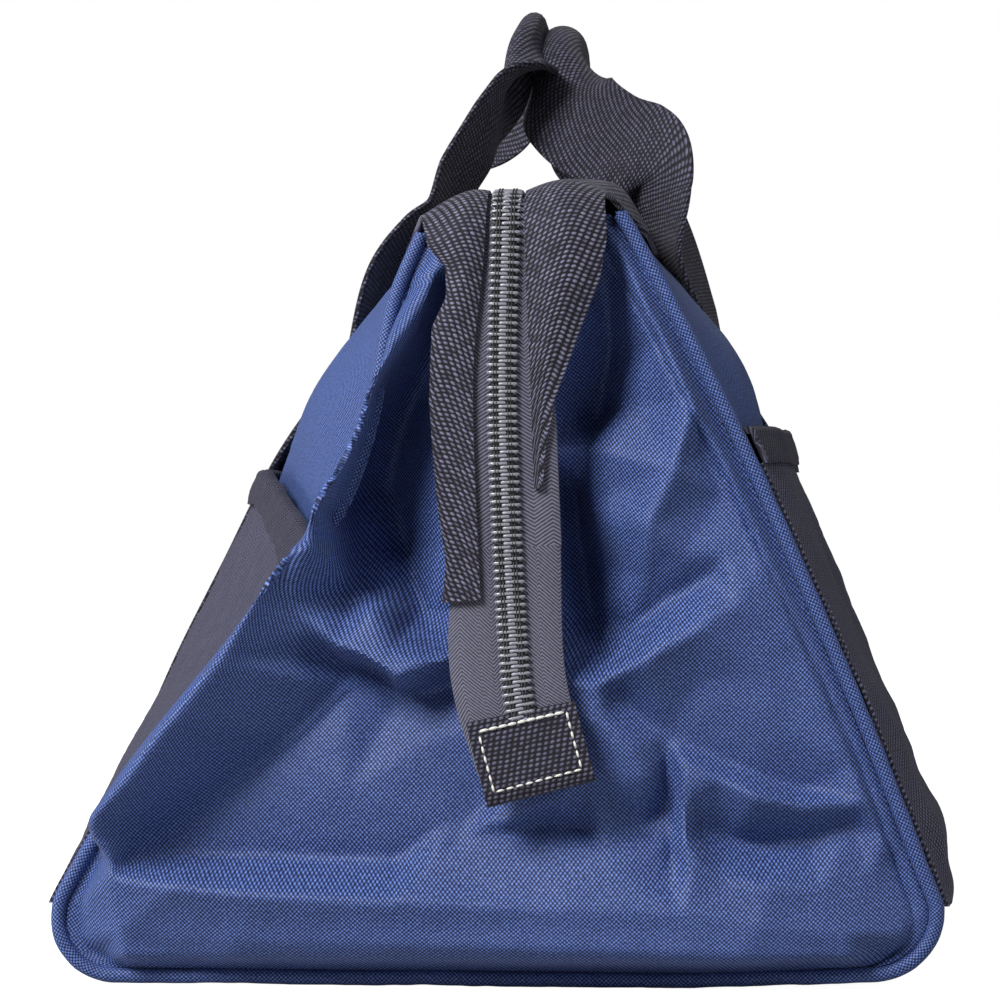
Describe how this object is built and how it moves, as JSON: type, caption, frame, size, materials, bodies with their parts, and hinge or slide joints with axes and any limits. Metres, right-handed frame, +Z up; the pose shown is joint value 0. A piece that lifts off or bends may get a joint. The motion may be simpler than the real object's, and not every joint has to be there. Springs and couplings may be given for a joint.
{
  "type": "zippered tool bag",
  "caption": "Soft wide-mouth tool bag with a stiffened base, outer side pockets, sewn webbing handles and a coil zip that overhangs both folded gusset ends.",
  "frame": {"origin": "on the floor at the middle of the bag's overall box", "axes": "+Z up, +Y along the bag's length towards the rear end, the pictured end faces -Y, +X to the right as seen from the front"},
  "size_m": [0.2988, 0.5054, 0.3408],
  "materials": {
    "navy_fabric": "woven polyester with a slight sheen",
    "charcoal_fabric": "woven polyester, dull",
    "webbing": "coarse polypropylene weave",
    "zip_tape": "herringbone tape",
    "coil": "glossy nylon coil",
    "dark_metal": "satin black lacquer",
    "board": "matt sheet"
  },
  "bodies": {
    "carcass": {"base_panel": "charcoal_fabric", "base_board": "board", "front_gusset": "navy_fabric", "front_piping": "navy_fabric", "front_drop_tape_left": "zip_tape", "front_drop_coil_left": "coil", "front_drop_webbing_left": "webbing", "front_drop_tape_right": "zip_tape", "front_drop_coil_right": "coil", "front_drop_webbing_right": "webbing", "rear_gusset": "navy_fabric", "rear_piping": "navy_fabric", "rear_drop_tape_left": "zip_tape", "rear_drop_coil_left": "coil", "rear_drop_webbing_left": "webbing", "rear_drop_tape_right": "zip_tape", "rear_drop_coil_right": "coil", "rear_drop_webbing_right": "webbing"},
    "side_left": {"side_panel_left": "navy_fabric", "pocket_left": "charcoal_fabric", "pocket_hem_left": "charcoal_fabric", "rim_webbing_left": "webbing", "zip_tape_left": "zip_tape", "zip_coil_left": "coil", "strap_left_front": "webbing", "strap_left_rear": "webbing"},
    "side_right": {"side_panel_right": "navy_fabric", "pocket_right": "charcoal_fabric", "pocket_hem_right": "charcoal_fabric", "rim_webbing_right": "webbing", "zip_tape_right": "zip_tape", "zip_coil_right": "coil", "strap_right_front": "webbing", "strap_right_rear": "webbing"},
    "carry_left": {"handle_left": "webbing"},
    "carry_right": {"handle_right": "webbing"},
    "slide_front": {"front_slider": "dark_metal"},
    "slide_rear": {"rear_slider": "dark_metal"},
    "tab_front": {"front_pull": "dark_metal"},
    "tab_rear": {"rear_pull": "dark_metal"},
    "tail_front": {"front_tail_tape_left": "zip_tape", "front_tail_tape_right": "zip_tape", "front_tail_coil_left": "coil", "front_tail_coil_right": "coil", "front_end_tab": "webbing"},
    "tail_rear": {"rear_tail_tape_left": "zip_tape", "rear_tail_tape_right": "zip_tape", "rear_tail_coil_left": "coil", "rear_tail_coil_right": "coil", "rear_end_tab": "webbing"}
  },
  "joints": [
    {"name": "open_left", "type": "hinge", "parent": "carcass", "child": "side_left", "pos_m": [-0.143, 0, 0.025], "axis": [0, -1, 0], "range_deg": [0, 25]},
    {"name": "open_right", "type": "hinge", "parent": "carcass", "child": "side_right", "pos_m": [0.143, 0, 0.025], "axis": [0, 1, 0], "range_deg": [0, 25]},
    {"name": "swing_left", "type": "hinge", "parent": "side_left", "child": "carry_left", "pos_m": [-0.0652, 0, 0.2055], "axis": [0, -1, 0], "range_deg": [0, 140]},
    {"name": "swing_right", "type": "hinge", "parent": "side_right", "child": "carry_right", "pos_m": [0.0773, 0, 0.2055], "axis": [0, 1, 0], "range_deg": [0, 140]},
    {"name": "zip_front", "type": "slide", "parent": "carcass", "child": "slide_front", "axis": [0, -1, 0], "range_m": [0, 0.188], "deforming": ["zip_coil_left", "zip_coil_right"]},
    {"name": "zip_rear", "type": "slide", "parent": "carcass", "child": "slide_rear", "axis": [0, 1, 0], "range_m": [0, 0.188], "deforming": ["zip_coil_left", "zip_coil_right"]},
    {"name": "pull_front", "type": "hinge", "parent": "slide_front", "child": "tab_front", "pos_m": [0.005, -0.0095, 0.2583], "axis": [-1, 0, 0], "range_deg": [0, 120]},
    {"name": "pull_rear", "type": "hinge", "parent": "slide_rear", "child": "tab_rear", "pos_m": [0.005, 0.0095, 0.2583], "axis": [1, 0, 0], "range_deg": [0, 120]},
    {"name": "lift_front", "type": "hinge", "parent": "carcass", "child": "tail_front", "pos_m": [0.005, -0.2434, 0.1225], "axis": [-1, 0, 0], "range_deg": [0, 90]},
    {"name": "lift_rear", "type": "hinge", "parent": "carcass", "child": "tail_rear", "pos_m": [0.005, 0.2434, 0.1225], "axis": [1, 0, 0], "range_deg": [0, 90]}
  ]
}
